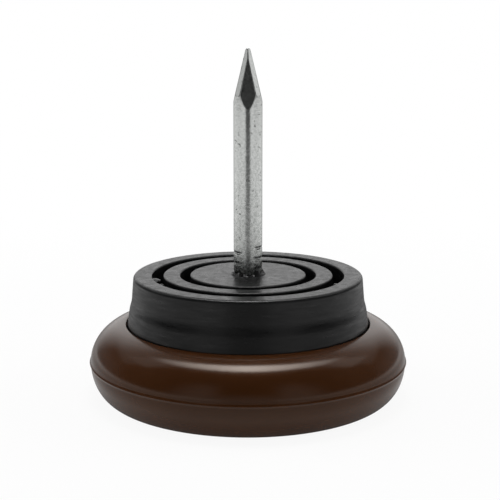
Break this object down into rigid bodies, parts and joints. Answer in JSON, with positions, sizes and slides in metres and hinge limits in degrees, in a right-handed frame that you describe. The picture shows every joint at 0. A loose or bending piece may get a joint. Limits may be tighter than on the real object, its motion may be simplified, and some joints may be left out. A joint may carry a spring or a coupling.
{
  "type": "nail-on furniture glide",
  "caption": "Round furniture glide: brown plastic base cup, grooved black rubber cushion snapped into it, and a zinc-plated nail that drives up into a chair or table leg.",
  "frame": {"origin": "middle of the flat sole that slides on the floor", "axes": "+Z along the nail, from the sole up to the nail's point; the point's flats face the X and Y axes"},
  "size_m": [0.038, 0.038, 0.0413],
  "materials": {
    "brown_plastic": "semi-gloss moulded brown plastic",
    "black_rubber": "smooth moulded black rubber with a slight shine",
    "zinc_steel": "bright zinc plating, lightly grained"
  },
  "bodies": {
    "root": {"base_cup": "brown_plastic", "rubber_cushion": "black_rubber", "nail": "zinc_steel"}
  },
  "joints": []
}
